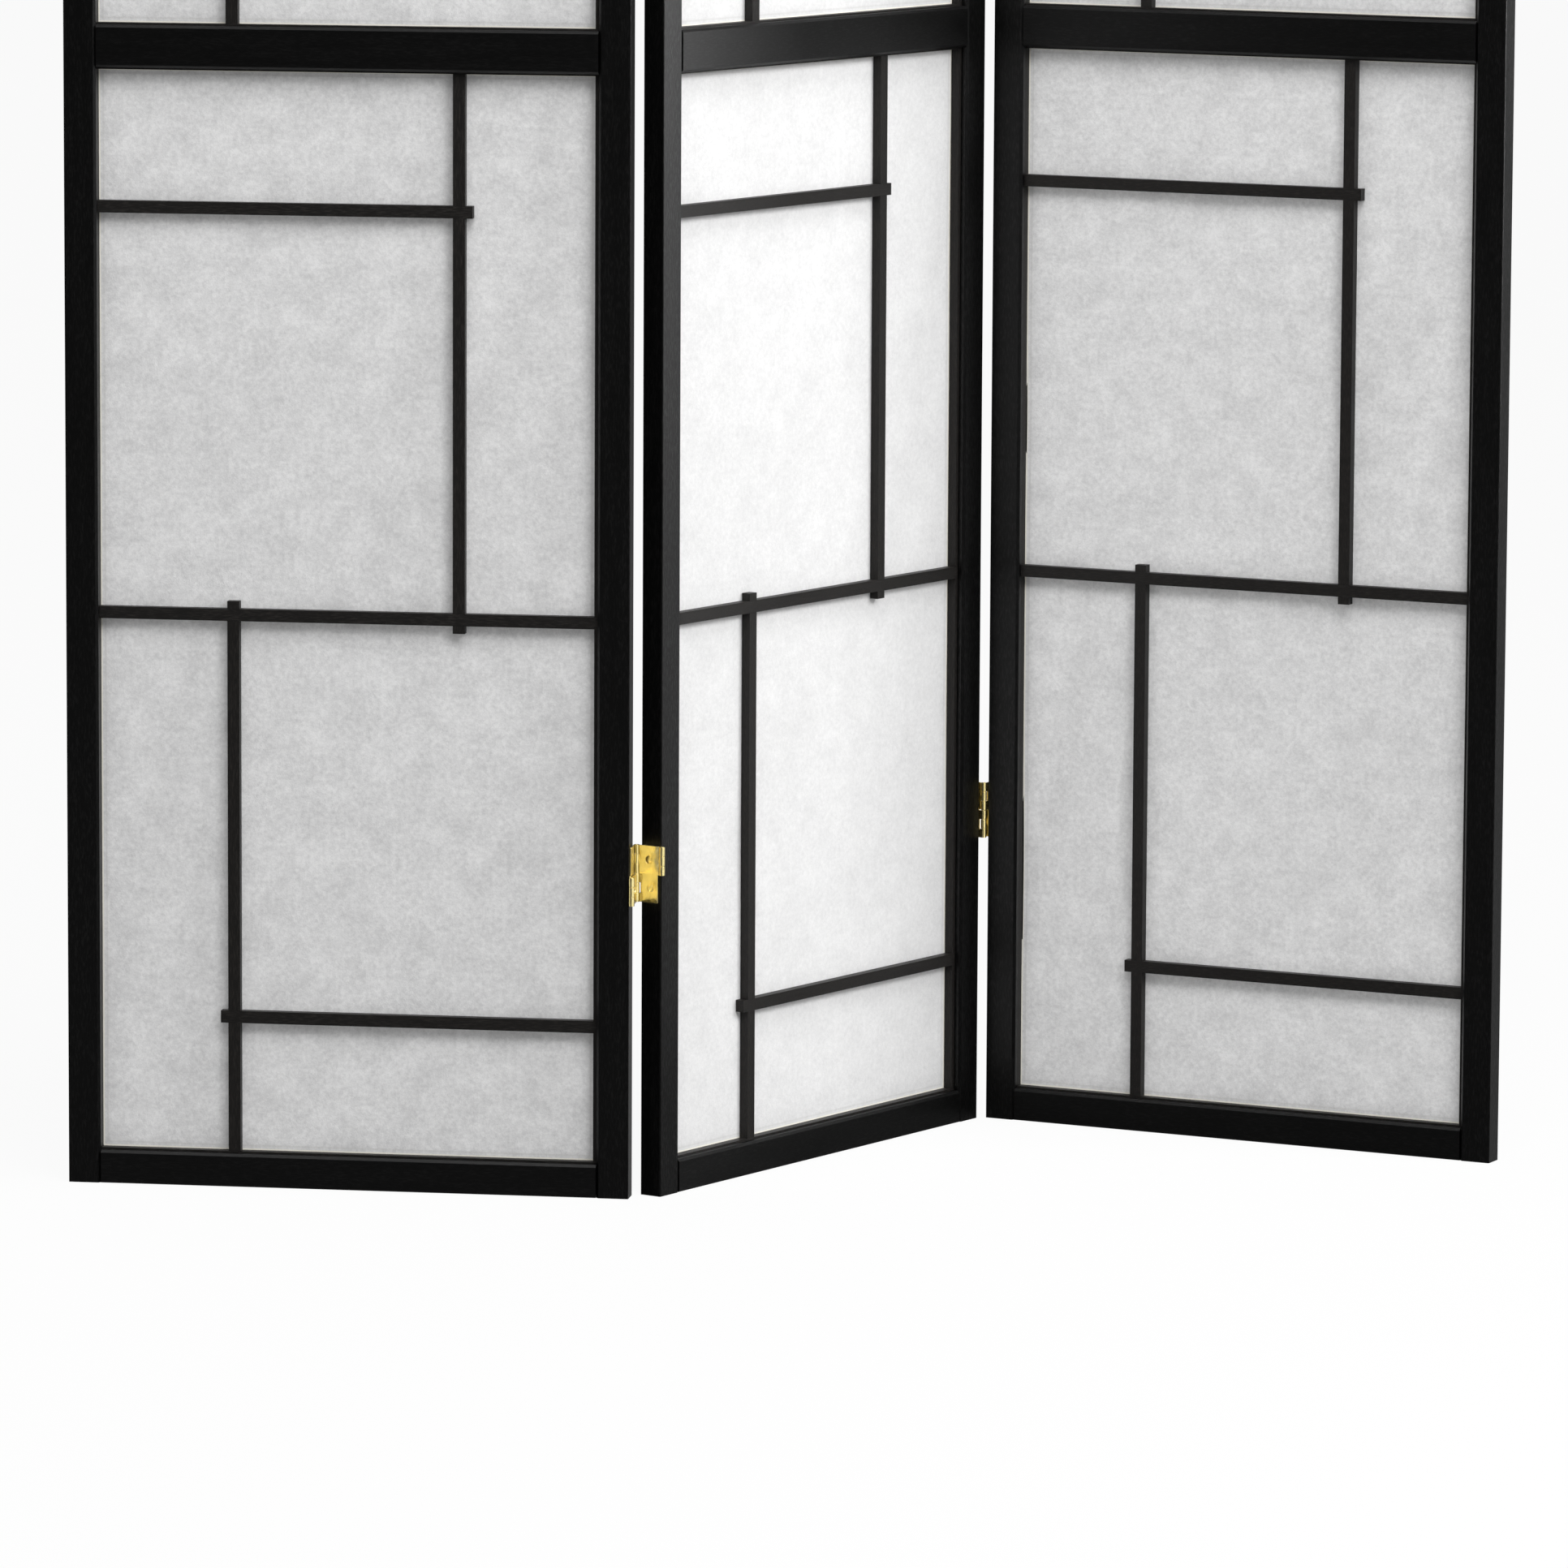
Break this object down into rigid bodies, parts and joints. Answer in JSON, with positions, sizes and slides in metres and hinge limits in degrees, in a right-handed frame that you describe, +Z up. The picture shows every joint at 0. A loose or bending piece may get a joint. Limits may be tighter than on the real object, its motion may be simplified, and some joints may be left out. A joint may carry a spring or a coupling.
{
  "type": "folding room divider screen",
  "caption": "Folding room divider screen: black framed paper panels with a stepped cross lattice, hung edge to edge on two-way brass hinges.",
  "frame": {"origin": "on the floor, under the middle of the standing screen's box", "axes": "+Z up; the fronts of the panels, where the lattice is nearer the face, look towards -Y; +X to the viewer's right"},
  "size_m": [1.132, 0.405, 1.784],
  "materials": {
    "frame_wood": "satin black lacquer over open-pored softwood",
    "lattice_wood": "satin black lacquer",
    "shade_paper": "fibrous translucent shade paper",
    "hinge_brass": "polished brass sheet and pins"
  },
  "bodies": {
    "middle_panel": {"left_bottom_hinge_leaf_on_middle_panel": "hinge_brass", "left_bottom_hinge_upper_back_pin": "hinge_brass", "left_bottom_hinge_upper_front_pin": "hinge_brass", "left_bottom_hinge_upper_link": "hinge_brass", "left_top_hinge_leaf_on_middle_panel": "hinge_brass", "left_top_hinge_upper_back_pin": "hinge_brass", "left_top_hinge_upper_front_pin": "hinge_brass", "left_top_hinge_upper_link": "hinge_brass", "middle_panel_bottom_rail": "frame_wood", "middle_panel_left_stile": "frame_wood", "middle_panel_lower_lattice": "lattice_wood", "middle_panel_lower_paper": "shade_paper", "middle_panel_middle_rail": "frame_wood", "middle_panel_right_stile": "frame_wood", "middle_panel_top_rail": "frame_wood", "middle_panel_upper_lattice": "lattice_wood", "middle_panel_upper_paper": "shade_paper", "right_bottom_hinge_leaf_on_middle_panel": "hinge_brass", "right_bottom_hinge_upper_back_pin": "hinge_brass", "right_bottom_hinge_upper_front_pin": "hinge_brass", "right_bottom_hinge_upper_link": "hinge_brass", "right_top_hinge_leaf_on_middle_panel": "hinge_brass", "right_top_hinge_upper_back_pin": "hinge_brass", "right_top_hinge_upper_front_pin": "hinge_brass", "right_top_hinge_upper_link": "hinge_brass"},
    "left_panel": {"left_bottom_hinge_leaf_on_left_panel": "hinge_brass", "left_bottom_hinge_lower_back_pin": "hinge_brass", "left_bottom_hinge_lower_front_pin": "hinge_brass", "left_bottom_hinge_lower_link": "hinge_brass", "left_panel_bottom_rail": "frame_wood", "left_panel_left_stile": "frame_wood", "left_panel_lower_lattice": "lattice_wood", "left_panel_lower_paper": "shade_paper", "left_panel_middle_rail": "frame_wood", "left_panel_right_stile": "frame_wood", "left_panel_top_rail": "frame_wood", "left_panel_upper_lattice": "lattice_wood", "left_panel_upper_paper": "shade_paper", "left_top_hinge_leaf_on_left_panel": "hinge_brass", "left_top_hinge_lower_back_pin": "hinge_brass", "left_top_hinge_lower_front_pin": "hinge_brass", "left_top_hinge_lower_link": "hinge_brass"},
    "right_panel": {"right_bottom_hinge_leaf_on_right_panel": "hinge_brass", "right_bottom_hinge_lower_back_pin": "hinge_brass", "right_bottom_hinge_lower_front_pin": "hinge_brass", "right_bottom_hinge_lower_link": "hinge_brass", "right_panel_bottom_rail": "frame_wood", "right_panel_left_stile": "frame_wood", "right_panel_lower_lattice": "lattice_wood", "right_panel_lower_paper": "shade_paper", "right_panel_middle_rail": "frame_wood", "right_panel_right_stile": "frame_wood", "right_panel_top_rail": "frame_wood", "right_panel_upper_lattice": "lattice_wood", "right_panel_upper_paper": "shade_paper", "right_top_hinge_leaf_on_right_panel": "hinge_brass", "right_top_hinge_lower_back_pin": "hinge_brass", "right_top_hinge_lower_front_pin": "hinge_brass", "right_top_hinge_lower_link": "hinge_brass"}
  },
  "joints": [
    {"name": "left_fold", "type": "hinge", "parent": "middle_panel", "child": "left_panel", "pos_m": [-0.1203, -0.17626, 0.892], "axis": [0, 0, -1], "range_deg": [-63.5, 116.5]},
    {"name": "right_fold", "type": "hinge", "parent": "middle_panel", "child": "right_panel", "pos_m": [0.15775, 0.17864, 0.892], "axis": [0, 0, -1], "range_deg": [-82, 98]}
  ]
}
